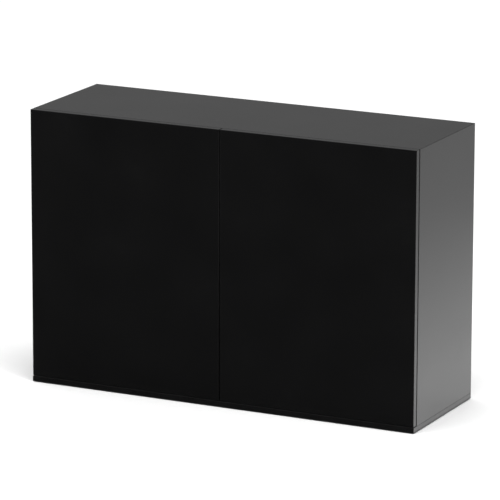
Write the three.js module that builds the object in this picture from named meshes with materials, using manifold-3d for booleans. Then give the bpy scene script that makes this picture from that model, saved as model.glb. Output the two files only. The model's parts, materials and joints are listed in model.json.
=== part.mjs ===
// Aquarium stand cabinet: a black foil-covered carcass with two handle-less doors.
// Millimetres, +Z up, the front is towards -Y, and the origin is on the floor under the
// middle of the footprint.
import * as THREE from 'three';
import { mergeVertices } from 'three/addons/utils/BufferGeometryUtils.js';
import Module from 'manifold-3d';

const wasm = await Module();
wasm.setup();

// ---- driving dimensions ----
const width = 1200;
const depth = 400;
const height = 802;
const board = 16; // carcass boards
const doorBoard = 18;
const glideHeight = 2; // the base stands this far off the floor
const seam = 0.2; // gap at a glued or screwed joint
const fit = 0.3; // gap round a turned or bored piece
const arcSteps = 4; // facets to a quarter turn of a drawn arc

// ---- doors ----
const doorGap = 2; // between a door's back and the carcass
const doorCentreGap = 3; // between the two doors
const doorReveal = 1; // from a door's outer edge to the cabinet's side
const doorBottomGap = 2; // between a door and the base
const hingeEndDistance = 100; // from a door's end to its nearest hinge

// ---- backs, shelves and openings ----
const backThickness = 3;
const backInset = 7; // from the cabinet's rear to the back's rear face
const grooveWidth = 4;
const grooveDepth = 5;
const backInGroove = 4.5;
const hoseCutout = { width: 160, height: 70, radius: 20, fromTop: 60 };
const cableHole = { radius: 30, fromSide: 100, fromFloor: 130, facets: 32 };
const shelfDepth = 310;
const shelfFront = 20; // from the carcass front to a shelf
const shelfSideGap = 2;
const shelfPinHole = 2.5;
const shelfPinHoleDepth = 11;
const shelfPinInset = 45; // from a shelf's front and rear edges
const shelfPinPitch = 64;
const shelfPinCollar = 1.5;
const shelfPlug = { reach: 7.5, overlap: 0.5, collarRadius: 3.5, collarStart: 0.1 };
const shelfTongue = { start: 1, end: 9.5, halfWide: 3, halfThick: 1 };
const grommet = { wall: 2.2, sleeveReach: 3, flange: 5, flangeChamfer: 1, flangeThickness: 2.2 };
const bumper = { radius: 3, shoulder: 2.6, shoulderHeight: 1.2, crown: 1.6, height: 1.7 };

// ---- concealed hinge, in its own axes: u from the side panel into the cabinet, v from the
// carcass front towards the door's face, w up; all at the closed position ----
const hinge = {
  armPivotOuter: [10.2, -9.9],
  armPivotInner: [13.2, 6.4],
  cupPivotOuter: [-6.4, 4.8],
  cupPivotInner: [-0.5, 5.8],
  elbowOuter: [1.6, 10],
  elbowInner: [7.7, 10.3],
  tail: [7, -28],
};
const hingePin = 1.2;
const runningGap = 0.2;
const loosePivotHole = 3.5; // the inner link's slack eye in the cup
const loosePivotEye = 4.7;
const linkEye = 2.5;
const linkHalfWidth = 2.1;
const linkInner = 0.5; // a link's faces, counted from the hinge's middle plane
const linkOuter = 5.5;
const armEye = 2.4;
const armInner = 6.5; // the arm's cheeks, counted from the middle plane
const armOuter = 8;
const cup = { centre: 6, radius: 17.5, wall: 1, depth: 12.6, lip: 0.1, facets: 28 };
const plateWing = { thickness: 2.2, v: -37, endRadius: 7, w: 18, screwHole: 2.4, screwW: 16 };
const plateRail = { height: 9.4, reach: [-57, -17], halfWide: 6.1 };
const armWeb = { inner: 9.8, outer: 11, reach: [-60, -19] };
const armCheekStart = 3; // how near the side panel the arm's cheeks come
const cupFlange = {
  thickness: 1.2,
  radius: 18.8,
  screwU: 15.5,
  screwW: 22.5,
  screwHole: 2,
  ear: 6.5,
};

// ---- push latch, on each side of the centre partition ----
const latch = { width: 14, length: 72, fromTop: 62, setback: 3, bore: 4.3, plunger: 4 };
const latchCorner = 3;
const latchEar = { width: 38, length: 16, corner: 4, thickness: 2, fromEnd: 20 };
const latchScrew = { hole: 2, spread: 13 };
const latchPlungerChamfer = 0.8;
const latchBoreDepth = 42;
const latchPlungerLength = 44;
const strike = { radius: 7, thickness: 0.8 };

// ---- worked-out places ----
const halfWidth = width / 2;
const front = -depth / 2;
const rear = depth / 2;
const doorBack = front + doorBoard;
const carcassFront = doorBack + doorGap;
const innerSide = halfWidth - board;
const partitionHalf = board / 2;
const baseTop = glideHeight + board;
const topUnderside = height - board;
const doorBottom = baseTop + doorBottomGap;
const hingeHeights = { lower: doorBottom + hingeEndDistance, upper: height - hingeEndDistance };
const backRear = rear - backInset;
const backFront = backRear - backThickness;
const grooveFront = backFront - (grooveWidth - backThickness) / 2;
const grooveRear = grooveFront + grooveWidth;
const shelfStart = carcassFront + shelfFront;
const shelfEnd = shelfStart + shelfDepth;
const shelfUnderside = (baseTop + topUnderside) / 2 - board / 2;
const shelfPinTop = shelfUnderside - seam;
const shelfPinAxis = shelfPinTop - 1;
const shelfPinColumns = [shelfStart + shelfPinInset, shelfEnd - shelfPinInset];
const shelfPinRows = [-1, 0, 1].map((row) => shelfPinAxis + row * shelfPinPitch);
const latchHeight = height - latch.fromTop;
const latchMiddle = partitionHalf + seam + latch.width / 2;
const glidePlaces = { outer: halfWidth - 40, across: rear - 30 };
const glideStub = { radius: 4, length: 9 };
const glideFoot = { radius: 14, contactRadius: 12, edge: 0.8 };

// ---- solids ----
function solid(geometry) {
  const loose = geometry.index ? geometry.toNonIndexed() : geometry;
  const bare = new THREE.BufferGeometry();
  bare.setAttribute('position', loose.getAttribute('position'));
  const merged = mergeVertices(bare, 1e-4);
  const mesh = new wasm.Mesh({
    numProp: 3,
    vertProperties: merged.attributes.position.array,
    triVerts: new Uint32Array(merged.index.array),
  });
  return new wasm.Manifold(mesh);
}

function geometryOf(body) {
  const mesh = body.getMesh();
  const geometry = new THREE.BufferGeometry();
  geometry.setAttribute('position', new THREE.BufferAttribute(mesh.vertProperties, 3));
  geometry.setIndex(new THREE.BufferAttribute(mesh.triVerts, 1));
  const faceted = geometry.toNonIndexed();
  faceted.computeVertexNormals();
  return faceted;
}

function block([x0, x1], [y0, y1], [z0, z1]) {
  const box = new THREE.BoxGeometry(x1 - x0, y1 - y0, z1 - z0);
  return solid(box.translate((x0 + x1) / 2, (y0 + y1) / 2, (z0 + z1) / 2));
}

// A round bar from one distance to another along an axis through a point.
function bar(radius, axis, [from, to], [x, y, z], segments = 16) {
  const cylinder = new THREE.CylinderGeometry(radius, radius, to - from, segments);
  cylinder.translate(0, (from + to) / 2, 0);
  if (axis === 'x') cylinder.rotateZ(-Math.PI / 2);
  if (axis === 'z') cylinder.rotateX(Math.PI / 2);
  return solid(cylinder.translate(x, y, z));
}

function turned(profile, segments) {
  const points = profile.map(([radius, along]) => new THREE.Vector2(radius, along));
  return solid(new THREE.LatheGeometry(points, segments));
}

function plate(shape, from, to) {
  const options = { depth: to - from, bevelEnabled: false, curveSegments: arcSteps };
  return solid(new THREE.ExtrudeGeometry(shape, options).translate(0, 0, from));
}

function polygon(points) {
  return new THREE.Shape(points.map(([x, y]) => new THREE.Vector2(x, y)));
}

function roundedRectangle(wide, high, radius) {
  const shape = new THREE.Shape();
  const x = wide / 2 - radius;
  const y = high / 2 - radius;
  shape.absarc(x, y, radius, 0, Math.PI / 2);
  shape.absarc(-x, y, radius, Math.PI / 2, Math.PI);
  shape.absarc(-x, -y, radius, Math.PI, 1.5 * Math.PI);
  shape.absarc(x, -y, radius, 1.5 * Math.PI, 2 * Math.PI);
  shape.closePath();
  return shape;
}

// A bar outline with round ends about two points.
function slotShape([x0, y0], [x1, y1], radius) {
  const along = Math.atan2(y1 - y0, x1 - x0);
  const shape = new THREE.Shape();
  shape.absarc(x1, y1, radius, along - Math.PI / 2, along + Math.PI / 2);
  shape.absarc(x0, y0, radius, along + Math.PI / 2, along + 1.5 * Math.PI);
  shape.closePath();
  return shape;
}

function join(first, ...others) {
  return others.reduce((whole, next) => whole.add(next), first);
}

function cut(body, ...tools) {
  return tools.reduce((whole, tool) => whole.subtract(tool), body);
}

// ---- materials ----
const finishes = {
  foil: { color: 0x17181a, roughness: 0.32, metalness: 0 },
  hardboard: { color: 0x1c1b1a, roughness: 0.7, metalness: 0 },
  zinc: { color: 0xb9bcc0, roughness: 0.35, metalness: 1 },
  nickel: { color: 0xc9c7c2, roughness: 0.22, metalness: 1 },
  plastic: { color: 0x1d1e20, roughness: 0.5, metalness: 0 },
  greyPlastic: { color: 0x6e7275, roughness: 0.5, metalness: 0 },
  rubber: { color: 0x8c8f91, roughness: 0.6, metalness: 0 },
};

function addPiece(group, name, body, finish) {
  const material = new THREE.MeshStandardMaterial(finishes[finish]);
  const mesh = new THREE.Mesh(geometryOf(body), material);
  mesh.name = name;
  group.add(mesh);
  return mesh;
}

// ---- boards shared by both halves ----
function backGrooveX(z0, z1) {
  const reach = innerSide + grooveDepth;
  return block([-reach, reach], [grooveFront, grooveRear], [z0, z1]);
}

function topPanel() {
  const outline = polygon([
    [-innerSide, topUnderside],
    [innerSide, topUnderside],
    [halfWidth, height],
    [-halfWidth, height],
  ]);
  const panel = standUp(outline, carcassFront, rear);
  return cut(panel, backGrooveX(topUnderside - 1, topUnderside + grooveDepth));
}

// A plate whose outline is drawn in x and z, reaching from one y to another.
function standUp(outline, fromY, toY) {
  const options = { depth: toY - fromY, bevelEnabled: false, curveSegments: arcSteps };
  const geometry = new THREE.ExtrudeGeometry(outline, options).rotateX(Math.PI / 2);
  return solid(geometry.translate(0, toY, 0));
}

function basePanel() {
  const panel = block([-halfWidth, halfWidth], [front, rear], [glideHeight, baseTop]);
  const holes = glideSpots().map(([x, y]) =>
    bar(glideStub.radius + fit, 'z', [glideHeight - 1, glideHeight + glideStub.length], [x, y, 0]),
  );
  return cut(panel, backGrooveX(baseTop - grooveDepth, baseTop + 1), ...holes);
}

function glideSpots() {
  const columns = [-glidePlaces.outer, 0, glidePlaces.outer];
  return columns.flatMap((x) => [-1, 1].map((end) => [x, end * glidePlaces.across]));
}

function glide() {
  const under = glideHeight - seam;
  return turned(
    [
      [0, 0],
      [glideFoot.contactRadius, 0],
      [glideFoot.radius, glideFoot.edge],
      [glideFoot.radius, under],
      [glideStub.radius, under],
      [glideStub.radius, glideStub.length],
      [0, glideStub.length],
    ],
    16,
  );
}

function centrePartition() {
  const tall = [baseTop + seam, topUnderside - seam];
  const panel = block([-partitionHalf, partitionHalf], [carcassFront, rear], tall);
  const grooves = [-1, 1].map((side) => {
    const edges = [side * (partitionHalf - grooveDepth), side * (partitionHalf + 1)];
    const across = edges.sort((a, b) => a - b);
    return block(across, [grooveFront, grooveRear], [tall[0] - 1, tall[1] + 1]);
  });
  const through = [-partitionHalf - 1, partitionHalf + 1];
  return cut(panel, ...grooves, ...shelfPinHoles(through));
}

function shelfPinHoles(alongX) {
  return shelfPinRows.flatMap((z) =>
    shelfPinColumns.map((y) => bar(shelfPinHole, 'x', alongX, [0, y, z], 8)),
  );
}

// ---- pieces of the right half; the left half mirrors them ----
function sidePanel() {
  const outline = polygon([
    [innerSide, baseTop + seam],
    [halfWidth, baseTop + seam],
    [halfWidth, height - fit],
    [innerSide, topUnderside - fit],
  ]);
  const reach = [innerSide - 1, innerSide + grooveDepth];
  const groove = block(reach, [grooveFront, grooveRear], [baseTop - 1, height - board / 2]);
  const holes = shelfPinHoles([innerSide - 1, innerSide + shelfPinHoleDepth]);
  return cut(standUp(outline, carcassFront, rear), groove, ...holes);
}

function backPanel() {
  const across = [partitionHalf - backInGroove, innerSide + backInGroove];
  const tall = [baseTop - backInGroove, topUnderside + backInGroove];
  const panel = block(across, [backFront, backRear], tall);
  const hose = roundedRectangle(hoseCutout.width, hoseCutout.height, hoseCutout.radius);
  const hoseTool = standUp(hose, backFront - 1, backRear + 1).translate([
    (partitionHalf + innerSide) / 2,
    0,
    topUnderside - hoseCutout.fromTop - hoseCutout.height / 2,
  ]);
  const cable = [innerSide - cableHole.fromSide, 0, baseTop + cableHole.fromFloor];
  const cableTool = bar(cableHole.radius, 'y', [backFront - 1, backRear + 1], cable, cableHole.facets);
  return cut(panel, hoseTool, cableTool);
}

function cableGrommet() {
  const sleeve = cableHole.radius - fit;
  const bore = sleeve - grommet.wall;
  const start = backFront - grommet.sleeveReach;
  const end = backRear + grommet.flangeThickness;
  const flange = cableHole.radius + grommet.flange;
  const ring = turned(
    [
      [bore, start],
      [sleeve, start],
      [sleeve, backRear + seam],
      [flange, backRear + seam],
      [flange - grommet.flangeChamfer, end],
      [bore, end],
      [bore, start],
    ],
    cableHole.facets,
  );
  return ring.translate([innerSide - cableHole.fromSide, 0, baseTop + cableHole.fromFloor]);
}

function shelf() {
  const across = [partitionHalf + shelfSideGap, innerSide - shelfSideGap];
  return block(across, [shelfStart, shelfEnd], [shelfUnderside, shelfUnderside + board]);
}

// A plug-in shelf support: its plug points along -x, its tongue along +x.
function shelfSupport() {
  const { reach, overlap, collarRadius, collarStart } = shelfPlug;
  const { start, end, halfWide, halfThick } = shelfTongue;
  const plug = bar(shelfPinHole - fit, 'x', [-reach, overlap], [0, 0, 0], 8);
  const collar = bar(collarRadius, 'x', [collarStart, shelfPinCollar], [0, 0, 0], 12);
  const tongue = block([start, end], [-halfWide, halfWide], [-halfThick, halfThick]);
  return join(plug, collar, tongue);
}

function door() {
  const across = [doorCentreGap / 2, halfWidth - doorReveal];
  const panel = block(across, [front, doorBack], [doorBottom, height]);
  const pockets = Object.values(hingeHeights).map((z) => {
    const reach = [doorBack - cup.depth - fit, doorBack + 1];
    return bar(cup.radius + fit, 'y', reach, [innerSide - cup.centre, 0, z], cup.facets);
  });
  return cut(panel, ...pockets);
}

function doorBumper() {
  return turned(
    [
      [0, seam / 2],
      [bumper.radius, seam / 2],
      [bumper.shoulder, bumper.shoulderHeight],
      [bumper.crown, bumper.height],
      [0, bumper.height],
    ],
    12,
  );
}

// ---- push latch ----
function latchHousing() {
  const reach = [carcassFront + latch.setback, carcassFront + latch.setback + latch.length];
  const centre = [latchMiddle, 0, latchHeight];
  const section = roundedRectangle(latch.width, latch.width, latchCorner);
  const casing = standUp(section, ...reach).translate(centre);
  const earMiddle = reach[1] - latchEar.fromEnd;
  const earShape = roundedRectangle(latchEar.width, latchEar.length, latchEar.corner);
  const ear = plate(earShape, 0, latchEar.thickness)
    .rotate([0, 90, 0])
    .translate([partitionHalf + seam, earMiddle, latchHeight]);
  const through = [partitionHalf, partitionHalf + 2 * latchEar.thickness];
  const screwHoles = [-1, 1].map((end) =>
    bar(latchScrew.hole, 'x', through, [0, earMiddle, latchHeight + end * latchScrew.spread], 8),
  );
  const bore = bar(latch.bore, 'y', [reach[0] - 1, reach[0] + latchBoreDepth], centre);
  return cut(join(casing, ear), bore, ...screwHoles);
}

function latchPlunger() {
  const tip = doorBack + seam / 2 + strike.thickness + fit;
  return turned(
    [
      [0, tip],
      [latch.plunger - latchPlungerChamfer, tip],
      [latch.plunger, tip + latchPlungerChamfer],
      [latch.plunger, tip + latchPlungerLength],
      [0, tip + latchPlungerLength],
    ],
    16,
  ).translate([latchMiddle, 0, latchHeight]);
}

function strikePlate() {
  const reach = [doorBack + seam / 2, doorBack + seam / 2 + strike.thickness];
  return bar(strike.radius, 'y', reach, [latchMiddle, 0, latchHeight], 20);
}

// ---- concealed hinge pieces, in the hinge's own axes ----
function mountingPlate() {
  const { thickness, v, endRadius, w, screwHole, screwW } = plateWing;
  const faces = [0, thickness];
  const wings = block(faces, [v - endRadius, v + endRadius], [-w, w]);
  const wingEnds = [-1, 1].map((end) => bar(endRadius, 'x', faces, [0, v, end * w]));
  const { halfWide } = plateRail;
  const rail = block([0, plateRail.height], plateRail.reach, [-halfWide, halfWide]);
  const through = [-1, thickness + 1];
  const screwHoles = [-1, 1].map((end) => bar(screwHole, 'x', through, [0, v, end * screwW], 8));
  return cut(join(wings, ...wingEnds, rail), ...screwHoles).translate([seam, 0, 0]);
}

function hingeArm() {
  const { armPivotOuter, armPivotInner, tail } = hinge;
  const cheekParts = (from, to) => [
    plate(slotShape(armPivotInner, armPivotOuter, armEye), from, to),
    plate(slotShape(armPivotOuter, tail, armEye), from, to),
    block([armCheekStart, armWeb.outer], armWeb.reach, [from, to]),
  ];
  const cheeks = [[armInner, armOuter], [-armOuter, -armInner]];
  const web = block([armWeb.inner, armWeb.outer], armWeb.reach, [-armOuter, armOuter]);
  const pins = [
    bar(hingePin, 'z', [linkInner, armOuter], [...armPivotOuter, 0], 10),
    bar(hingePin, 'z', [-armOuter, -linkInner], [...armPivotInner, 0], 10),
  ];
  return join(web, ...cheeks.flatMap(([from, to]) => cheekParts(from, to)), ...pins);
}

function hingeCup() {
  const { cupPivotOuter, cupPivotInner } = hinge;
  const mouth = doorGap - cup.lip;
  const floor = doorGap + cup.depth;
  const inner = cup.radius - cup.wall;
  const shell = turned(
    [
      [0, floor - cup.wall],
      [inner, floor - cup.wall],
      [inner, mouth - cupFlange.thickness],
      [cup.radius, mouth - cupFlange.thickness],
      [cup.radius, floor],
      [0, floor],
    ],
    cup.facets,
  ).translate([cup.centre, 0, 0]);
  const reach = [mouth - cupFlange.thickness, mouth];
  const disc = bar(cupFlange.radius, 'y', reach, [cup.centre, 0, 0], cup.facets);
  const { screwU, screwW, ear } = cupFlange;
  const strip = block([screwU - ear, screwU + ear], reach, [-screwW, screwW]);
  const ears = [-1, 1].map((end) => bar(ear, 'y', reach, [screwU, 0, end * screwW]));
  const through = [reach[0] - 1, reach[1] + 1];
  const opening = bar(inner, 'y', through, [cup.centre, 0, 0], cup.facets);
  const screwHoles = [-1, 1].map((end) =>
    bar(cupFlange.screwHole, 'y', through, [screwU, 0, end * screwW], 8),
  );
  const flange = cut(join(disc, strip, ...ears), opening, ...screwHoles);
  const wallAt = ([u]) => Math.sqrt((cup.radius - 0.1) ** 2 - (cup.centre - u + hingePin) ** 2);
  const pins = [
    bar(hingePin, 'z', [linkInner, wallAt(cupPivotOuter)], [...cupPivotOuter, 0], 10),
    bar(hingePin, 'z', [-wallAt(cupPivotInner), -linkInner], [...cupPivotInner, 0], 10),
  ];
  return join(shell, flange, ...pins);
}

// A cranked link between two pivots, bent at its elbow.
function hingeLink(root, elbow, end, endEye, endHole, [from, to]) {
  const arms = [
    plate(slotShape(root, elbow, linkHalfWidth), from, to),
    plate(slotShape(elbow, end, linkHalfWidth), from, to),
  ];
  const eyes = [
    bar(linkEye, 'z', [from, to], [...root, 0], 16),
    bar(endEye, 'z', [from, to], [...end, 0], 20),
  ];
  const holes = [
    bar(hingePin + runningGap, 'z', [from - 1, to + 1], [...root, 0], 10),
    bar(endHole, 'z', [from - 1, to + 1], [...end, 0], 20),
  ];
  return cut(join(...arms, ...eyes), ...holes);
}

function outerLink() {
  const { armPivotOuter, elbowOuter, cupPivotOuter } = hinge;
  const hole = hingePin + runningGap;
  const reach = [linkInner, linkOuter];
  return hingeLink(armPivotOuter, elbowOuter, cupPivotOuter, linkEye, hole, reach);
}

function innerLink() {
  const { armPivotInner, elbowInner, cupPivotInner } = hinge;
  const reach = [-linkOuter, -linkInner];
  return hingeLink(armPivotInner, elbowInner, cupPivotInner, loosePivotEye, loosePivotHole, reach);
}

// ---- assembly ----
const cabinet = new THREE.Group();

addPiece(cabinet, 'top_panel', topPanel(), 'foil');
addPiece(cabinet, 'base_panel', basePanel(), 'foil');
addPiece(cabinet, 'centre_partition', centrePartition(), 'foil');

glideSpots().forEach(([x, y], index) => {
  const piece = addPiece(cabinet, `base_glide_${index + 1}`, glide(), 'plastic');
  piece.rotation.x = Math.PI / 2;
  piece.position.set(x, y, 0);
});

function addShelfSupports(half, side) {
  const walls = [
    { name: 'inner', x: partitionHalf, turn: 0 },
    { name: 'outer', x: innerSide, turn: Math.PI },
  ];
  for (const wall of walls) {
    shelfPinColumns.forEach((y, column) => {
      const name = `${side}_shelf_support_${wall.name}_${['front', 'rear'][column]}`;
      const piece = addPiece(half, name, shelfSupport(), 'nickel');
      piece.rotation.z = wall.turn;
      piece.position.set(wall.x, y, shelfPinAxis);
    });
  }
}

function addHinge(half, name, z) {
  const group = new THREE.Group();
  group.position.set(innerSide, carcassFront, z);
  group.rotation.z = Math.PI;
  half.add(group);
  addPiece(group, `${name}_mounting_plate`, mountingPlate(), 'nickel');
  addPiece(group, `${name}_arm`, hingeArm(), 'nickel');
  addPiece(group, `${name}_cup`, hingeCup(), 'nickel');
  addPiece(group, `${name}_outer_link`, outerLink(), 'zinc');
  addPiece(group, `${name}_inner_link`, innerLink(), 'zinc');
}

function addHalf(side, mirror) {
  const half = new THREE.Group();
  half.scale.x = mirror;
  cabinet.add(half);
  addPiece(half, `${side}_side_panel`, sidePanel(), 'foil');
  addPiece(half, `${side}_back_panel`, backPanel(), 'hardboard');
  addPiece(half, `${side}_cable_grommet`, cableGrommet(), 'plastic');
  addPiece(half, `${side}_shelf`, shelf(), 'foil');
  addShelfSupports(half, side);
  addPiece(half, `${side}_door`, door(), 'foil');
  for (const [end, z] of Object.entries(hingeHeights)) addHinge(half, `${side}_${end}_hinge`, z);
  addPiece(half, `${side}_latch_housing`, latchHousing(), 'greyPlastic');
  addPiece(half, `${side}_latch_plunger`, latchPlunger(), 'greyPlastic');
  addPiece(half, `${side}_latch_strike`, strikePlate(), 'nickel');
  for (const [end, z] of [['lower', doorBottom + 40], ['upper', height - 27]]) {
    const bumper = addPiece(half, `${side}_${end}_door_bumper`, doorBumper(), 'rubber');
    bumper.position.set(doorCentreGap / 2 + 3.3, doorBack, z);
  }
}

addHalf('right', 1);
addHalf('left', -1);

export default cabinet;
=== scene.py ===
"""Aquarium stand cabinet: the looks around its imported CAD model."""
import json
import math

import bmesh
import bpy
from mathutils import Matrix, Vector

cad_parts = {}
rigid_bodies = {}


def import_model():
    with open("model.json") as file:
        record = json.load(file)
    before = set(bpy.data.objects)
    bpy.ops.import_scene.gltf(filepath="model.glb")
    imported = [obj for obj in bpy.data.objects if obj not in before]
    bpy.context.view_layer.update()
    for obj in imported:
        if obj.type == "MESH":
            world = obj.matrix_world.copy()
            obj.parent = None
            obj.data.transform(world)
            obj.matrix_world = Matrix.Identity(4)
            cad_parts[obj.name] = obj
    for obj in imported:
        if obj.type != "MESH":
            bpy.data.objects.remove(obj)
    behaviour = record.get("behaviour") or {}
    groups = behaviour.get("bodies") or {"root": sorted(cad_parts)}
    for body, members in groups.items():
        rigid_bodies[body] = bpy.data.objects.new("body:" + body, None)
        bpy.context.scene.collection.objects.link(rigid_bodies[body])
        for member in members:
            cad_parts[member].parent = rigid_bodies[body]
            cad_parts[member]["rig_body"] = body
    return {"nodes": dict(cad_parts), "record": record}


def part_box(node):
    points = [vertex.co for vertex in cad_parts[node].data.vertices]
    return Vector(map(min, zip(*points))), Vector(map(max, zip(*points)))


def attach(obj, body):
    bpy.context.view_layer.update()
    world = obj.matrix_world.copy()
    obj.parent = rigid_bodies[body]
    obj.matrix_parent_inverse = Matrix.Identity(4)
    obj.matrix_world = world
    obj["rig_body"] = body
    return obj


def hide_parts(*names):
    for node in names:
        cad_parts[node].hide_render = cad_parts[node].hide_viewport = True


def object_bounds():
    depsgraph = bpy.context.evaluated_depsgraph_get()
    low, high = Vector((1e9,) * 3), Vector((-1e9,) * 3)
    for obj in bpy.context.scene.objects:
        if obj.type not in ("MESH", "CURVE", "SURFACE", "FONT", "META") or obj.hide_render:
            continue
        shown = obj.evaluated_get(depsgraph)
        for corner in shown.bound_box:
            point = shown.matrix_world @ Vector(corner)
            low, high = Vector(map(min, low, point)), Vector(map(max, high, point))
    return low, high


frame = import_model()
CAD_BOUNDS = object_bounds()
MM = 0.001
NODES = frame["nodes"]
SIDES = {"left": -1, "right": 1}
ENDS = ("lower", "upper")
WELD = 0.01 * MM  # points closer than this are one point
SLIVER = 0.001 * MM  # an edge shorter than this is none, and a point this near a cut lies on it

# ---- camera and studio: lengths in metres, angles in radians ----
CAMERA_AZIMUTH = math.radians(26.07)
CAMERA_ELEVATION = math.radians(13.96)
CAMERA_ROLL = math.radians(0.15)
CAMERA_DISTANCE = 11.87
CAMERA_LENS = 301.0
CAMERA_TARGET = Vector((-0.003, 0.0015, 0.4125))
FLOOR_HALF = 60.0
SKY_DIM_BELOW = 0.3  # the sine of the elevation up to which the sky is dim
SKY_BRIGHT_ABOVE = 0.75
SKY_DIM = 0.315
SKY_BRIGHT = 1.45
GLOW_START = CAD_BOUNDS[1][0] + 2 * MM
GLOW_REACHES = (0.25, 0.5, 0.8)
GLOW_Y = (-0.4, 2.2)
GLOW_LEVEL = 0.40
SOFTBOX_PLACE = Vector((0.7, -0.9, 3.4))
SOFTBOX_SIZE = (2.4, 0.8)
SOFTBOX_WATTS = 62.0
FLAG_START = -CAD_BOUNDS[0][1] + 3 * MM
FLAG_END = 40.0
FLAG_FLARE = 1.0  # how far the card widens to each side for each metre forward
FLAG_HEIGHT = 1 * MM


def add_camera():
    data = bpy.data.cameras.new("camera")
    data.lens = CAMERA_LENS
    data.sensor_width = 36.0
    data.clip_end = 200.0
    camera = bpy.data.objects.new("camera", data)
    bpy.context.scene.collection.objects.link(camera)
    level = math.cos(CAMERA_ELEVATION)
    away = Vector((
        math.sin(CAMERA_AZIMUTH) * level,
        -math.cos(CAMERA_AZIMUTH) * level,
        math.sin(CAMERA_ELEVATION),
    ))
    camera.location = CAMERA_TARGET + away * CAMERA_DISTANCE
    turn = (-away).to_track_quat("-Z", "Y").to_matrix().to_4x4()
    roll = Matrix.Rotation(CAMERA_ROLL, 4, "Z")
    camera.matrix_world = Matrix.Translation(camera.location) @ turn @ roll
    bpy.context.scene.camera = camera


def add_world():
    """A studio that is dim at the horizon and bright overhead, as under one huge soft box,
    behind a white backdrop."""
    world = bpy.data.worlds.new("studio")
    world.use_nodes = True
    nodes, links = world.node_tree.nodes, world.node_tree.links
    direction = nodes.new("ShaderNodeTexCoord").outputs["Generated"]
    axis = nodes.new("ShaderNodeSeparateXYZ")
    links.new(direction, axis.inputs["Vector"])
    rise = nodes.new("ShaderNodeMapRange")
    rise.interpolation_type = "SMOOTHSTEP"
    rise.inputs["From Min"].default_value = SKY_DIM_BELOW
    rise.inputs["From Max"].default_value = SKY_BRIGHT_ABOVE
    rise.inputs["To Min"].default_value = SKY_DIM
    rise.inputs["To Max"].default_value = SKY_BRIGHT
    links.new(axis.outputs["Z"], rise.inputs["Value"])
    backdrop = nodes.new("ShaderNodeMath")
    backdrop.operation = "MAXIMUM"
    links.new(rise.outputs["Result"], backdrop.inputs[0])
    links.new(nodes.new("ShaderNodeLightPath").outputs["Is Camera Ray"], backdrop.inputs[1])
    links.new(backdrop.outputs["Value"], nodes["Background"].inputs["Strength"])
    nodes["Background"].inputs["Color"].default_value = (1, 1, 1, 1)
    bpy.context.scene.world = world


def add_floor_glow():
    """Sheets of light lying on the floor to the cabinet's right, stepping down away from it."""
    for index, reach in enumerate(GLOW_REACHES):
        length = GLOW_Y[1] - GLOW_Y[0]
        data = bpy.data.lights.new(f"floor_glow_{index}", "AREA")
        data.shape = "RECTANGLE"
        data.size = reach
        data.size_y = length
        data.energy = GLOW_LEVEL * math.pi * reach * length
        lamp = bpy.data.objects.new(data.name, data)
        bpy.context.scene.collection.objects.link(lamp)
        lamp.location = (GLOW_START + reach / 2, sum(GLOW_Y) / 2, (2 + index) * MM)
        lamp.rotation_euler = (math.pi, 0, 0)
        lamp.visible_camera = False


def add_softbox():
    """A soft light over the floor in front, which keeps that floor white up to the base. Gloss
    does not see it, so the black faces stay as dark as without it."""
    data = bpy.data.lights.new("softbox", "AREA")
    data.shape = "RECTANGLE"
    data.size, data.size_y = SOFTBOX_SIZE
    data.energy = SOFTBOX_WATTS
    lamp = bpy.data.objects.new(data.name, data)
    bpy.context.scene.collection.objects.link(lamp)
    lamp.location = SOFTBOX_PLACE
    lamp.visible_camera = False
    lamp.visible_glossy = False


def flat_sheet(name, corners, height, material):
    mesh = bpy.data.meshes.new(name)
    mesh.from_pydata([(x, y, height) for x, y in corners], [], [(0, 1, 2, 3)])
    mesh.materials.append(material)
    sheet = bpy.data.objects.new(name, mesh)
    bpy.context.scene.collection.objects.link(sheet)
    return sheet


def add_floor():
    paper = Surface("studio_paper", **{"Specular IOR Level": 0.0})
    paper.colour(paper.noise(40 * MM), (0.925, 0.925, 0.925), (0.935, 0.935, 0.935))
    paper.roughness(paper.noise(3 * MM), 0.85, 0.95)
    half = FLOOR_HALF
    corners = [(-half, -half), (half, -half), (half, half), (-half, half)]
    flat_sheet("floor", corners, 0, paper.material)


def add_front_flag():
    """A black card that fans out over the floor in front. Only gloss sees it, so that the doors
    reflect darkness while they and the floor stay lit."""
    card = Surface("black_card", **{"Specular IOR Level": 0.0})
    card.colour(card.noise(20 * MM), (0.034, 0.034, 0.034), (0.038, 0.038, 0.038))
    half = CAD_BOUNDS[1][0]
    spread = half + FLAG_FLARE * (FLAG_END - FLAG_START)
    corners = [(-half, -FLAG_START), (-spread, -FLAG_END), (spread, -FLAG_END), (half, -FLAG_START)]
    flag = flat_sheet("front_flag", corners, FLAG_HEIGHT, card.material)
    flag.visible_camera = False
    flag.visible_diffuse = False
    flag.visible_shadow = False
    flag.visible_transmission = False


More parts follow.
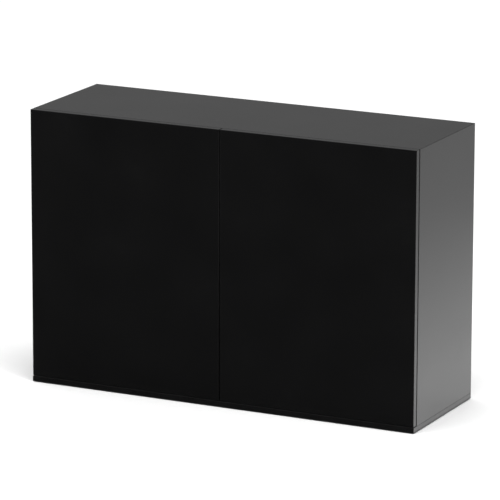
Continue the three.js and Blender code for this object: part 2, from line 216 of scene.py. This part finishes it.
# ---- material helpers ----
class Surface:
    """A Principled material, with methods that give it procedural detail of a real size."""

    def __init__(self, name, **sockets):
        self.material = bpy.data.materials.new(name)
        self.material.use_nodes = True
        self.nodes = self.material.node_tree.nodes
        self.links = self.material.node_tree.links
        self.shader = self.nodes["Principled BSDF"]
        self.place = self.nodes.new("ShaderNodeTexCoord").outputs["Object"]
        self.normal = None
        for socket, value in sockets.items():
            self.shader.inputs[socket].default_value = value

    def stretched(self, factors):
        node = self.nodes.new("ShaderNodeMapping")
        node.inputs["Scale"].default_value = factors
        self.links.new(self.place, node.inputs["Vector"])
        return node.outputs["Vector"]

    def noise(self, size, detail=3.0, stretch=(1, 1, 1)):
        node = self.nodes.new("ShaderNodeTexNoise")
        node.inputs["Scale"].default_value = 1 / size
        node.inputs["Detail"].default_value = detail
        self.links.new(self.stretched(stretch), node.inputs["Vector"])
        return node.outputs["Fac"]

    def cells(self, size, output="Distance", stretch=(1, 1, 1)):
        node = self.nodes.new("ShaderNodeTexVoronoi")
        node.inputs["Scale"].default_value = 1 / size
        self.links.new(self.stretched(stretch), node.inputs["Vector"])
        return node.outputs[output]

    def bands(self, size, direction):
        """Even ridges, size apart, that step along one axis."""
        node = self.nodes.new("ShaderNodeTexWave")
        node.wave_type = "BANDS"
        node.bands_direction = direction
        node.inputs["Scale"].default_value = math.pi / (10 * size)
        node.inputs["Distortion"].default_value = 0.6
        node.inputs["Detail Scale"].default_value = 2.0
        self.links.new(self.place, node.inputs["Vector"])
        return node.outputs["Fac"]

    def math(self, operation, first, second):
        node = self.nodes.new("ShaderNodeMath")
        node.operation = operation
        for socket, value in zip(node.inputs, (first, second)):
            if isinstance(value, (int, float)):
                socket.default_value = value
            else:
                self.links.new(value, socket)
        return node.outputs["Value"]

    def spread(self, value, low, high, start=0.3, stop=0.7):
        node = self.nodes.new("ShaderNodeMapRange")
        node.inputs["From Min"].default_value = start
        node.inputs["From Max"].default_value = stop
        node.inputs["To Min"].default_value = low
        node.inputs["To Max"].default_value = high
        self.links.new(value, node.inputs["Value"])
        return node.outputs["Result"]

    def colour(self, value, *colours, start=0.3, stop=0.7):
        """Colours the surface from the first to the last colour as value rises."""
        node = self.nodes.new("ShaderNodeValToRGB")
        elements = node.color_ramp.elements
        while len(elements) < len(colours):
            elements.new(0.5)
        for index, colour in enumerate(colours):
            elements[index].position = start + (stop - start) * index / (len(colours) - 1)
            elements[index].color = (*colour, 1)
        self.links.new(value, node.inputs["Fac"])
        self.links.new(node.outputs["Color"], self.shader.inputs["Base Color"])

    def roughness(self, value, low, high):
        self.links.new(self.spread(value, low, high), self.shader.inputs["Roughness"])

    def mixed(self, first, second, share):
        """The first value by its share, and the second by the rest."""
        first = self.math("MULTIPLY", first, share)
        second = self.math("MULTIPLY", second, 1 - share)
        return self.math("ADD", first, second)

    def relief(self, height, depth):
        """Adds relief of that depth, in metres, over what is there already."""
        node = self.nodes.new("ShaderNodeBump")
        node.inputs["Distance"].default_value = depth
        self.links.new(height, node.inputs["Height"])
        if self.normal is not None:
            self.links.new(self.normal, node.inputs["Normal"])
        self.normal = node.outputs["Normal"]
        self.links.new(self.normal, self.shader.inputs["Normal"])


# ---- materials ----
FOIL_GLOSS = 0.2  # the specular level of the foil and of the edge band that matches it


def black_foil(name="black_foil", smooth=0.0, highlight_lift=1.0):
    """Satin foil with a faint peel, a fine grain and a slow drift in its sheen."""
    foil = Surface(name, **{"Specular IOR Level": FOIL_GLOSS})
    cloud = foil.noise(170 * MM, 3.0)
    grain = foil.noise(0.7 * MM, 2.0)
    # highlight_lift scales the colour up; above 1 it paints a highlight, as a lighter copy of the
    # same foil
    dark = tuple(highlight_lift * value for value in (0.0040, 0.0040, 0.0041))
    light = tuple(highlight_lift * value for value in (0.0052, 0.0052, 0.0053))
    foil.colour(foil.mixed(cloud, grain, 0.7), dark, light)
    foil.roughness(foil.mixed(cloud, grain, 0.6), 0.20 - smooth, 0.28 - smooth)
    foil.relief(foil.noise(6 * MM, 2.0), 0.006 * MM)
    foil.relief(grain, 0.004 * MM)
    return foil.material


def edge_band():
    """Extruded plastic edging: fine lines along it and a slightly duller gloss."""
    band = Surface("edge_band", **{"Specular IOR Level": FOIL_GLOSS})
    lines = band.noise(0.5 * MM, 2.0, (1, 1, 0.02))
    cloud = band.noise(60 * MM)
    band.colour(cloud, (0.0044, 0.0044, 0.0045), (0.0058, 0.0058, 0.0060))
    band.roughness(band.mixed(lines, cloud, 0.5), 0.24, 0.34)
    band.relief(lines, 0.008 * MM)
    return band.material


def melamine():
    """The inside faces: resin paper pressed with a pearl structure."""
    paper = Surface("black_melamine")
    pearl = paper.cells(1.1 * MM, "Distance")
    cloud = paper.noise(90 * MM)
    paper.colour(cloud, (0.016, 0.016, 0.0165), (0.022, 0.022, 0.0226))
    paper.roughness(paper.noise(2 * MM), 0.42, 0.54)
    paper.relief(pearl, 0.03 * MM)
    return paper.material


def particle_board():
    """The raw core that shows in bores and grooves: pressed chips of several browns."""
    core = Surface("particle_board")
    chips = core.cells(1.8 * MM, "Color", (1, 1, 2.2))
    dust = core.noise(0.5 * MM)
    browns = (0.17, 0.10, 0.055), (0.36, 0.24, 0.14), (0.55, 0.41, 0.26)
    core.colour(core.mixed(chips, dust, 0.7), *browns, start=0.15, stop=0.85)
    core.roughness(dust, 0.85, 0.98)
    core.relief(chips, 0.15 * MM)
    return core.material


def hardboard_face():
    """The lacquered inner face: fibres just show through the black."""
    face = Surface("hardboard_lacquer")
    fibres = face.noise(4 * MM, 6.0, (1, 1, 0.35))
    face.colour(fibres, (0.012, 0.0118, 0.0115), (0.021, 0.020, 0.019))
    face.roughness(face.noise(1.2 * MM), 0.42, 0.6)
    face.relief(fibres, 0.03 * MM)
    return face.material


def hardboard_screen():
    """The wall-side face, marked by the wire screen that it was pressed on."""
    face = Surface("hardboard_screen")
    fibres = face.noise(5 * MM, 6.0)
    screen = face.math("MULTIPLY", face.bands(1.6 * MM, "X"), face.bands(1.6 * MM, "Z"))
    face.colour(fibres, (0.014, 0.0125, 0.0110), (0.030, 0.026, 0.022))
    face.roughness(fibres, 0.65, 0.85)
    face.relief(fibres, 0.05 * MM)
    face.relief(screen, 0.12 * MM)
    return face.material


def hardboard_edge():
    edge = Surface("hardboard_edge")
    layers = edge.noise(1.5 * MM, 5.0, (1, 3, 1))
    edge.colour(layers, (0.10, 0.060, 0.032), (0.20, 0.125, 0.070))
    edge.roughness(layers, 0.8, 0.95)
    edge.relief(layers, 0.1 * MM)
    return edge.material


def nickel():
    metal = Surface("nickel_plate", Metallic=1.0)
    haze = metal.noise(7 * MM)
    scratches = metal.noise(0.35 * MM, 2.0, (1, 1, 0.05))
    metal.colour(haze, (0.55, 0.54, 0.51), (0.68, 0.66, 0.62))
    metal.roughness(metal.mixed(haze, scratches, 0.5), 0.16, 0.32)
    metal.relief(scratches, 0.004 * MM)
    return metal.material


def zinc():
    metal = Surface("zinc_plate", Metallic=1.0)
    crystals = metal.cells(1.6 * MM, "Color")
    metal.colour(crystals, (0.44, 0.46, 0.49), (0.58, 0.60, 0.63), start=0.1, stop=0.9)
    metal.roughness(crystals, 0.34, 0.5)
    metal.relief(metal.noise(0.5 * MM), 0.01 * MM)
    return metal.material


def moulded_plastic(name, dark, light):
    """Injection-moulded plastic with the fine sparked texture of its mould."""
    plastic = Surface(name)
    sparks = plastic.cells(0.45 * MM)
    flow = plastic.noise(18 * MM)
    plastic.colour(flow, dark, light)
    plastic.roughness(plastic.noise(1.5 * MM), 0.42, 0.56)
    plastic.relief(sparks, 0.02 * MM)
    return plastic.material


def bumper_rubber():
    soft = Surface("bumper_polyurethane", **{
        "Subsurface Weight": 0.5,
        "Subsurface Scale": 2 * MM,
        "Subsurface Radius": (1.0, 1.0, 1.0),
    })
    soft.colour(soft.noise(2 * MM), (0.42, 0.43, 0.44), (0.52, 0.53, 0.54))
    soft.roughness(soft.noise(0.6 * MM), 0.2, 0.32)
    soft.relief(soft.noise(1.0 * MM), 0.01 * MM)
    return soft.material


# ---- pieces ----
FLAT_BELOW = math.radians(0.5)
SQUARE_ON = 0.99  # a normal this near an axis is taken to lie along it


def link_piece(name, mesh, body, replaced=()):
    piece = bpy.data.objects.new(name, mesh)
    bpy.context.scene.collection.objects.link(piece)
    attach(piece, body)
    if replaced:
        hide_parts(*replaced)
    return piece


def body_of(node):
    return NODES[node]["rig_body"]


def clean_copy(node):
    """The node's solid with its triangles merged into flat convex faces."""
    bm = bmesh.new()
    bm.from_mesh(NODES[node].data)
    bmesh.ops.remove_doubles(bm, verts=bm.verts, dist=WELD)
    bmesh.ops.dissolve_limit(bm, angle_limit=FLAT_BELOW, verts=bm.verts, edges=bm.edges)
    bmesh.ops.connect_verts_concave(bm, faces=bm.faces)
    bm.normal_update()
    return bm


def settle_order(bm):
    """Puts edges and faces in one order, because a bevel leaves them in another each run."""
    bm.verts.index_update()
    for elements in (bm.edges, bm.faces):
        ordered = sorted(elements, key=lambda element: [vertex.index for vertex in element.verts])
        rank = {element: place for place, element in enumerate(ordered)}
        elements.sort(key=rank.get)


def outer_direction(face, low, high):
    """The way a face on the outside of a box looks, such as "+x", or None for any other face."""
    centre = face.calc_center_median()
    for axis, letter in enumerate("xyz"):
        if face.normal[axis] > SQUARE_ON and abs(centre[axis] - high[axis]) < 2 * WELD:
            return "+" + letter
        if face.normal[axis] < -SQUARE_ON and abs(centre[axis] - low[axis]) < 2 * WELD:
            return "-" + letter
    return None


# ---- boards ----
# material slots of a board; ARRIS holds the lighter foil that paints a highlight on the rounded
# edges
FACE, INSIDE, BAND, CORE, ARRIS = range(5)
DOOR_ARRIS = 0.9 * MM
BOARD_ARRIS = 0.7 * MM
MITRE_ROUND = 1.2 * MM
ARRIS_STEPS = 3
MITRE_STEPS = 4
BOARD_CORNER = math.radians(40)  # edges that turn more than this get an arris


def board_materials():
    return [
        black_foil(),
        melamine(),
        edge_band(),
        particle_board(),
        # the arris copy of the foil is lighter (1.6 times) and glossier: its lighter colour is a
        # painted highlight along the rounded edges
        black_foil("foil_arris_painted_highlight", smooth=0.05, highlight_lift=1.6),
    ]


def round_mitre(bm, corner_x, corner_z):
    """Rounds the outside of a mitred corner, so that both boards share one soft arris."""
    sign = math.copysign(1, corner_x)
    pivot = (abs(corner_x) - MITRE_ROUND, corner_z - MITRE_ROUND)
    for step in range(MITRE_STEPS):
        reach = MITRE_ROUND * math.sin(math.pi / 4 * step / MITRE_STEPS)
        for place, way in (
            ((sign * (pivot[0] + reach), 0, 0), (1, 0, 0)),
            ((0, 0, pivot[1] + reach), (0, 0, 1)),
        ):
            geometry = bm.verts[:] + bm.edges[:] + bm.faces[:]
            bmesh.ops.bisect_plane(bm, geom=geometry, dist=SLIVER, plane_co=place, plane_no=way)
    for vertex in bm.verts:
        offset = Vector((abs(vertex.co.x) - pivot[0], vertex.co.z - pivot[1]))
        beyond = min(offset) > 0 and offset.length > MITRE_ROUND and vertex.co.x * sign > 0
        if beyond:
            offset *= MITRE_ROUND / offset.length
            vertex.co.x = sign * (pivot[0] + offset[0])
            vertex.co.z = pivot[1] + offset[1]
    # the rounded mitre takes the lighter arris foil: a painted highlight along the corner
    for face in bm.faces:
        centre = face.calc_center_median()
        on_end = abs(face.normal.y) > 0.5
        if sign * centre.x > pivot[0] and centre.z > pivot[1] and not on_end:
            face.material_index = ARRIS


def add_board(node, finish, materials, arris=BOARD_ARRIS, mitred=()):
    """A board from its CAD solid: each side's finish, raw bores, and softened arrises coloured
    lighter as a painted highlight.
    """
    low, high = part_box(node)
    bm = clean_copy(node)
    outside = {}
    for face in bm.faces:
        outside[face] = outer_direction(face, low, high)
        face.material_index = finish.get(outside[face], CORE)
    edges = [
        edge
        for edge in bm.edges
        if len(edge.link_faces) == 2
        and all(outside[face] for face in edge.link_faces)
        and edge.calc_face_angle_signed(0) > BOARD_CORNER
    ]
    # the rounded arrises take the ARRIS slot, the foil with a painted highlight
    bmesh.ops.bevel(
        bm,
        geom=edges,
        offset=arris,
        offset_type="OFFSET",
        segments=ARRIS_STEPS,
        profile=0.5,
        affect="EDGES",
        clamp_overlap=True,
        material=ARRIS,
    )
    for corner in mitred:
        round_mitre(bm, *corner)
    bmesh.ops.remove_doubles(bm, verts=bm.verts, dist=WELD)
    settle_order(bm)
    mesh = bpy.data.meshes.new(node)
    bm.to_mesh(mesh)
    bm.free()
    for material in materials:
        mesh.materials.append(material)
    return link_piece(f"finished_{node}", mesh, body_of(node), [node])


def add_boards():
    materials = board_materials()
    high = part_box("top_panel")[1]
    corners = {side: (sign * high.x, high.z) for side, sign in SIDES.items()}
    banded = {"-x": BAND, "+x": BAND, "-y": BAND, "+y": BAND}
    add_board("top_panel", {**banded, "+z": FACE, "-z": INSIDE}, materials, mitred=corners.values())
    add_board("base_panel", {**banded, "+z": INSIDE, "-z": INSIDE}, materials)
    add_board("centre_partition", {"-x": INSIDE, "+x": INSIDE, "-y": BAND, "+y": BAND}, materials)
    for side, sign in SIDES.items():
        outward, inward = ("+x", "-x") if sign > 0 else ("-x", "+x")
        panel = {outward: FACE, inward: INSIDE, "-y": BAND, "+y": BAND, "-z": BAND}
        add_board(f"{side}_side_panel", panel, materials, mitred=[corners[side]])
        add_board(f"{side}_shelf", {**banded, "+z": INSIDE, "-z": INSIDE}, materials)
        leaf = {**banded, "-y": FACE, "+y": INSIDE, "+z": BAND, "-z": BAND}
        add_board(f"{side}_door", leaf, materials, arris=DOOR_ARRIS)


# ---- shapes built here ----
ARC_STEPS = 12
ROUND_STEPS = 64
SMOOTH_BELOW = math.radians(32)


def arc(centre, radius, start, stop, steps):
    angles = [start + (stop - start) * step / steps for step in range(steps + 1)]
    return [(centre[0] + radius * math.cos(a), centre[1] + radius * math.sin(a)) for a in angles]


def rounded_rectangle(centre, wide, high, radius):
    points = []
    for turn, (across, up) in enumerate(((1, 1), (-1, 1), (-1, -1), (1, -1))):
        corner = (
            centre[0] + across * (wide / 2 - radius),
            centre[1] + up * (high / 2 - radius),
        )
        points += arc(corner, radius, turn * math.pi / 2, (turn + 1) * math.pi / 2, ARC_STEPS)
    return points


def softened(profile, radius, steps=3):
    """The same outline with its corners rounded off, all but its first and last point."""
    points = [Vector(point) for point in profile]
    rounded = [points[0]]
    for before, corner, after in zip(points, points[1:], points[2:]):
        back, on = before - corner, after - corner
        reach = min(radius, back.length / 2, on.length / 2)
        start = corner + back.normalized() * reach
        stop = corner + on.normalized() * reach
        for step in range(steps + 1):
            t = step / steps
            point = start * (1 - t) ** 2 + corner * 2 * t * (1 - t) + stop * t ** 2
            if (point - rounded[-1]).length > WELD:
                rounded.append(point)
    return rounded + [points[-1]]


def circle_ring(radius, height, steps=ROUND_STEPS):
    if radius == 0:
        return [(0, 0, height)]
    turns = [2 * math.pi * step / steps for step in range(steps)]
    return [(radius * math.cos(a), radius * math.sin(a), height) for a in turns]


def cross_ring(reach, height, steps):
    """The outline of a cross recess, its arms half as wide as they are long from the middle."""
    half = reach / 4
    off_axis = 1e-4  # keeps both divisors above zero
    points = []
    for step in range(steps):
        angle = 2 * math.pi * (step + off_axis) / steps
        across, up = abs(math.cos(angle)), abs(math.sin(angle))
        radius = max(min(half / up, reach / across), min(half / across, reach / up))
        points.append((radius * math.cos(angle), radius * math.sin(angle), height))
    return points


def loft(rings, closed=False):
    """A skin from ring to ring; a ring of one point closes an end."""
    bm = bmesh.new()
    rows = [[bm.verts.new(point) for point in ring] for ring in rings]
    pairs = list(zip(rows, rows[1:]))
    if closed:
        pairs.append((rows[-1], rows[0]))
    for lower, upper in pairs:
        count = max(len(lower), len(upper))
        for step in range(count):
            after = (step + 1) % count
            corners = [
                lower[step % len(lower)],
                lower[after % len(lower)],
                upper[after % len(upper)],
                upper[step % len(upper)],
            ]
            bm.faces.new(list(dict.fromkeys(corners)))
    bmesh.ops.recalc_face_normals(bm, faces=bm.faces)
    return bm


def turned(profile, closed=False):
    return loft([circle_ring(max(radius, 0), height) for radius, height in profile], closed)


def plate(outlines, thickness):
    """A flat plate in x and y about z 0: the first outline is its edge, the others are holes."""
    curve = bpy.data.curves.new("plate", "CURVE")
    curve.dimensions = "2D"
    curve.fill_mode = "BOTH"
    curve.extrude = thickness / 2
    for outline in outlines:
        spline = curve.splines.new("POLY")
        spline.points.add(len(outline) - 1)
        for point, (x, y) in zip(spline.points, outline):
            point.co = (x, y, 0, 1)
        spline.use_cyclic_u = True
    holder = bpy.data.objects.new("plate", curve)
    mesh = bpy.data.meshes.new_from_object(holder)
    bm = bmesh.new()
    bm.from_mesh(mesh)
    bmesh.ops.remove_doubles(bm, verts=bm.verts, dist=WELD)
    bmesh.ops.recalc_face_normals(bm, faces=bm.faces)
    bpy.data.objects.remove(holder)
    bpy.data.curves.remove(curve)
    bpy.data.meshes.remove(mesh)
    return bm


def standing(place, axis):
    """The matrix that puts a shape at a place with its z along an axis."""
    return Matrix.Translation(place) @ Vector(axis).to_track_quat("Z", "Y").to_matrix().to_4x4()


def smooth_mesh(bm, name):
    """Ends a bmesh as a mesh that is smooth over gentle bends and sharp over the rest."""
    for face in bm.faces:
        face.smooth = True
    for edge in bm.edges:
        edge.smooth = len(edge.link_faces) == 2 and edge.calc_face_angle(0) < SMOOTH_BELOW
    mesh = bpy.data.meshes.new(name)
    bm.to_mesh(mesh)
    bm.free()
    return mesh


def merged(parts, name):
    """One mesh from (shape, matrix) pairs."""
    whole = bmesh.new()
    for shape, matrix in parts:
        shape.transform(matrix)
        part = bpy.data.meshes.new("part")
        shape.to_mesh(part)
        shape.free()
        whole.from_mesh(part)
        bpy.data.meshes.remove(part)
    bmesh.ops.recalc_face_normals(whole, faces=whole.faces)
    return smooth_mesh(whole, name)


# ---- backs ----
HOSE_CUTOUT = {"wide": 160 * MM, "high": 70 * MM, "radius": 20 * MM, "from_top": 64.5 * MM}
CABLE_HOLE_RADIUS = 30 * MM


def add_backs():
    """Hardboard with its two cut-outs, lacquered inside and screen-marked towards the wall."""
    materials = [hardboard_face(), hardboard_screen(), hardboard_edge()]
    inside, wall_side, edge = range(3)
    last_step = 2 * math.pi * (1 - 1 / ROUND_STEPS)
    for side in SIDES:
        node = f"{side}_back_panel"
        low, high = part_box(node)
        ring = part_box(f"{side}_cable_grommet")
        middle = (low + high) / 2
        hose = HOSE_CUTOUT
        hose_centre = (middle.x, high.z - hose["from_top"] - hose["high"] / 2)
        cable_centre = ((ring[0].x + ring[1].x) / 2, (ring[0].z + ring[1].z) / 2)
        outlines = [
            [(low.x, low.z), (high.x, low.z), (high.x, high.z), (low.x, high.z)],
            rounded_rectangle(hose_centre, hose["wide"], hose["high"], hose["radius"]),
            arc(cable_centre, CABLE_HOLE_RADIUS, 0, last_step, ROUND_STEPS - 1),
        ]
        bm = plate(outlines, high.y - low.y)
        bm.transform(Matrix.Translation((0, middle.y, 0)) @ Matrix.Rotation(math.pi / 2, 4, "X"))
        bm.normal_update()
        for face in bm.faces:
            face.material_index = edge
            if face.normal.y < -SQUARE_ON:
                face.material_index = inside
            if face.normal.y > SQUARE_ON:
                face.material_index = wall_side
        mesh = smooth_mesh(bm, node)
        for material in materials:
            mesh.materials.append(material)
        link_piece(f"finished_{node}", mesh, body_of(node), [node])


# ---- hardware ----
SMALL_ARRIS = 0.12 * MM
ARRIS_ROOM = 4
SHARP_CORNER = math.radians(50)
SCREW_STEPS = 24
# A screw's head and a cap are given as radius and height. A face and an inset count inwards from
# the side panel, a setback back from its front edge, and a spread up and down from the middle of
# the hinge or latch.
PLATE_SCREW = (3.7 * MM, 1.9 * MM)
PLATE_FACE = 2.4 * MM
PLATE_SCREW_SETBACK = 37 * MM
PLATE_SCREW_SPREAD = 16 * MM
CUP_SCREW = (3.4 * MM, 1.1 * MM)
CUP_SCREW_INSET = 15.5 * MM
CUP_SCREW_SPREAD = 22.5 * MM
ARM_FACE = 11 * MM
ARM_SCREWS = ((50 * MM, (3.5 * MM, 1.5 * MM)), (28 * MM, (2.8 * MM, 1.0 * MM)))
LATCH_SCREW = (3.3 * MM, 1.7 * MM)
LATCH_EAR_FACE = 10.2 * MM  # from the middle of the cabinet
LATCH_SCREW_SETBACK = 52 * MM  # from the front of the latch's housing
LATCH_SCREW_SPREAD = 13 * MM
CAM_CAP = (8.5 * MM, 1.1 * MM)
CAP_STEPS = 48
CAM_FROM_END = 34 * MM
CAM_FROM_FRONT = 60 * MM
CAM_FROM_REAR = 50 * MM
UPPER_CAM_FROM_FRONT = 100 * MM  # clear of the latch


def add_hardware(node, material):
    """A small part from its CAD solid, with smooth round faces. An edge is softened where the
    edges next to it are several arrises long, and stays sharp where they leave no room."""
    bm = clean_copy(node)
    roomy = {
        vertex
        for vertex in bm.verts
        if min(edge.calc_length() for edge in vertex.link_edges) > ARRIS_ROOM * SMALL_ARRIS
    }
    sharp = [
        edge
        for edge in bm.edges
        if edge.calc_face_angle_signed(0) > SHARP_CORNER and roomy.issuperset(edge.verts)
    ]
    bmesh.ops.bevel(
        bm,
        geom=sharp,
        offset=SMALL_ARRIS,
        offset_type="OFFSET",
        segments=2,
        profile=0.5,
        affect="EDGES",
        clamp_overlap=False,
        material=-1,
    )
    bmesh.ops.dissolve_degenerate(bm, dist=SLIVER, edges=bm.edges)
    settle_order(bm)
    mesh = smooth_mesh(bm, node)
    mesh.materials.append(material)
    return link_piece(f"finished_{node}", mesh, body_of(node), [node])


def add_turned(node, profile, axis, material, closed=False, soft=0.3 * MM):
    """A round part in place of its CAD solid. The profile counts from the solid's low end."""
    low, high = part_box(node)
    place = (low + high) / 2
    place["xyz".index(axis)] = low["xyz".index(axis)]
    outline = softened(profile, soft)
    if closed:
        outline = softened(profile + profile[:2], soft)[1:-1]
    way = {"x": (1, 0, 0), "y": (0, 1, 0), "z": (0, 0, 1)}[axis]
    mesh = merged([(turned(outline, closed), standing(place, way))], node)
    mesh.materials.append(material)
    return link_piece(f"finished_{node}", mesh, body_of(node), [node])


def add_grommet(side, material):
    """A sleeve through the hardboard with a flange on its wall side."""
    bore, sleeve, flange = 27.5 * MM, 29.7 * MM, 35 * MM
    flange_thickness, chamfer = 2 * MM, 1 * MM
    low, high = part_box(f"{side}_cable_grommet")
    length = high.y - low.y
    profile = [
        (bore, 0),
        (sleeve, 0),
        (sleeve, length - flange_thickness),
        (flange, length - flange_thickness),
        (flange - chamfer, length),
        (bore, length),
    ]
    add_turned(f"{side}_cable_grommet", profile, "y", material, closed=True)


def add_glide(number, material):
    """A foot with a rounded flange under the base and a stub that is pressed into it."""
    flange, stub = 14 * MM, 4 * MM
    flange_top, length = 1.8 * MM, 9 * MM
    chamfer_in, chamfer_up = 1.5 * MM, 0.8 * MM
    profile = [
        (0, 0),
        (flange - chamfer_in, 0),
        (flange, chamfer_up),
        (flange, flange_top),
        (stub, flange_top),
        (stub, length),
        (0, length),
    ]
    add_turned(f"base_glide_{number}", profile, "z", material)


def add_bumper(node, material):
    """A self-adhesive dome, flat on the door and round towards the partition."""
    low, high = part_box(node)
    radius, height = (high.x - low.x) / 2, high.y - low.y
    dome = [(0.94, 0.5), (0.6, 0.94), (0, 1)]
    profile = [(0, 0), (radius, 0)] + [(radius * out, height * up) for out, up in dome]
    add_turned(node, profile, "y", material, soft=0.8 * MM)


def add_plunger(side, material):
    """A latch's sliding pin, with a groove round it near its tip."""
    node = f"{side}_latch_plunger"
    low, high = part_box(node)
    radius, length = (high.x - low.x) / 2, high.y - low.y
    groove_start, groove_end, groove_depth = 3 * MM, 5.6 * MM, 0.6 * MM
    neck = radius - groove_depth
    profile = [
        (0, 0),
        (radius, 0),
        (radius, groove_start),
        (neck, groove_start + groove_depth),
        (neck, groove_end - groove_depth),
        (radius, groove_end),
        (radius, length),
        (0, length),
    ]
    add_turned(node, profile, "y", material, soft=0.7 * MM)


def add_strike(side, material):
    """A steel disc with a shallow dish, where the plunger presses."""
    node = f"{side}_latch_strike"
    low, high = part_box(node)
    radius, thickness = (high.x - low.x) / 2, high.y - low.y
    rim, floor, dish = radius * 0.7, radius * 0.55, 0.25 * MM
    profile = [
        (0, 0),
        (radius, 0),
        (radius, thickness),
        (rim, thickness),
        (floor, thickness - dish),
        (0, thickness - dish),
    ]
    add_turned(node, profile, "y", material, soft=0.2 * MM)


def recessed_head(size, dome, recess, steps):
    """A domed head with a cross recess, standing on z 0. Its dome is given from the rim up to
    the flat, its recess as the reach at the mouth, the reach at the bottom and the height of the
    bottom, all as shares of the head's radius and height."""
    radius, height = size
    mouth, bottom, level = recess
    rings = [circle_ring(0, 0)]
    for out, up in dome:
        rings.append(circle_ring(radius * out, height * up, steps))
    rings.append(cross_ring(radius * mouth, height, steps))
    rings.append(cross_ring(radius * bottom, height * level, steps))
    rings.append(circle_ring(0, height * level))
    return loft(rings)


def screw_head(size):
    """A pan head."""
    dome = ((1, 0), (1, 0.35), (0.93, 0.65), (0.8, 0.88), (0.65, 1))
    return recessed_head(size, dome, (0.56, 0.448, 0.38), SCREW_STEPS)


def cam_cap():
    """A flatter and wider cover cap."""
    dome = ((1, 0), (1, 0.3), (0.95, 0.7), (0.8, 0.95), (0.5, 1))
    return recessed_head(CAM_CAP, dome, (0.36, 0.33, 0.55), CAP_STEPS)


def add_screws(name, heads, axis, material, body):
    """One piece of screw heads from (place, size) pairs, which all stand along one axis."""
    mesh = merged([(screw_head(size), standing(place, axis)) for place, size in heads], name)
    mesh.materials.append(material)
    link_piece(name, mesh, body)


def add_hinge_screws(side, end, material):
    """The screws of the mounting plate, of the cup's flange and along the arm."""
    sign = SIDES[side]
    inward = (-sign, 0, 0)
    hinge = f"{side}_{end}_hinge"
    plate_low, plate_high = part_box(f"{hinge}_mounting_plate")
    height = (plate_low.z + plate_high.z) / 2
    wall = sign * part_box("right_side_panel")[0].x
    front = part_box("right_side_panel")[0].y
    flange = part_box(f"{hinge}_cup")[1].y

    x, y = wall - sign * PLATE_FACE, front + PLATE_SCREW_SETBACK
    heads = [((x, y, height + way * PLATE_SCREW_SPREAD), PLATE_SCREW) for way in (-1, 1)]
    add_screws(f"{hinge}_plate_screws", heads, inward, material, "cabinet")

    x = wall - sign * CUP_SCREW_INSET
    heads = [((x, flange, height + way * CUP_SCREW_SPREAD), CUP_SCREW) for way in (-1, 1)]
    add_screws(f"{hinge}_cup_screws", heads, (0, 1, 0), material, body_of(f"{hinge}_cup"))

    x = wall - sign * ARM_FACE
    heads = [((x, front + setback, height), size) for setback, size in ARM_SCREWS]
    add_screws(f"{hinge}_arm_screws", heads, inward, material, "cabinet")


def add_latch_screws(side, material):
    """The two screws that hold a latch's ear to the centre partition."""
    low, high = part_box(f"{side}_latch_housing")
    sign = SIDES[side]
    x, y = sign * LATCH_EAR_FACE, low.y + LATCH_SCREW_SETBACK
    middle = (low.z + high.z) / 2
    heads = [((x, y, middle + way * LATCH_SCREW_SPREAD), LATCH_SCREW) for way in (-1, 1)]
    add_screws(f"{side}_latch_screws", heads, (sign, 0, 0), material, "cabinet")


def add_cam_caps(material):
    """Caps over the cam fittings that hold the sides and the partition."""
    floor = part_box("base_panel")[1].z
    # the shelf sits midway between the floor and the ceiling
    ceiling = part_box("right_shelf")[1].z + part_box("right_shelf")[0].z - floor
    lower, upper = floor + CAM_FROM_END, ceiling - CAM_FROM_END
    front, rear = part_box("centre_partition")[0].y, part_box("centre_partition")[1].y
    lower_row = (front + CAM_FROM_FRONT, rear - CAM_FROM_REAR)
    upper_row = (front + UPPER_CAM_FROM_FRONT, rear - CAM_FROM_REAR)
    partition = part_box("centre_partition")[1].x
    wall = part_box("right_side_panel")[0].x
    rows = {
        "left_side_panel": [(-wall, y, lower) for y in lower_row],
        "right_side_panel": [(wall, y, lower) for y in lower_row],
        "centre_partition": [(partition, y, lower) for y in lower_row]
        + [(partition, y, upper) for y in upper_row],
    }
    for board, spots in rows.items():
        way = (-1, 0, 0) if board == "right_side_panel" else (1, 0, 0)
        mesh = merged([(cam_cap(), standing(spot, way)) for spot in spots], board)
        mesh.materials.append(material)
        link_piece(f"{board}_cam_caps", mesh, "cabinet")


TURNED_ENDINGS = ("grommet", "bumper", "plunger", "strike")
GLIDE_COUNT = 6
# the darkest and the lightest colour of each plastic
BLACKS = ((0.011, 0.011, 0.0115), (0.017, 0.017, 0.0175))
GREYS = ((0.14, 0.15, 0.16), (0.19, 0.20, 0.21))


def add_all_hardware():
    """Every small part: most from their CAD solids, the turned ones and the fasteners anew."""
    made = {
        "nickel": nickel(),
        "zinc": zinc(),
        "black_plastic": moulded_plastic("black_plastic", *BLACKS),
        "grey_plastic": moulded_plastic("grey_plastic", *GREYS),
        "bumper_rubber": bumper_rubber(),
    }
    for row in frame["record"]["subparts"]:
        node, slot = row["node"], row["material_slot"]
        if slot in made and not node.endswith(TURNED_ENDINGS) and "glide" not in node:
            add_hardware(node, made[slot])
    for number in range(1, GLIDE_COUNT + 1):
        add_glide(number, made["black_plastic"])
    for side in SIDES:
        add_grommet(side, made["black_plastic"])
        add_plunger(side, made["grey_plastic"])
        add_strike(side, made["nickel"])
        add_latch_screws(side, made["nickel"])
        for end in ENDS:
            add_bumper(f"{side}_{end}_door_bumper", made["bumper_rubber"])
            add_hinge_screws(side, end, made["nickel"])
    add_cam_caps(made["black_plastic"])


bpy.context.scene.view_settings.view_transform = "Standard"
add_camera()
add_world()
add_floor()
add_floor_glow()
add_softbox()
add_front_flag()
add_boards()
add_backs()
add_all_hardware()
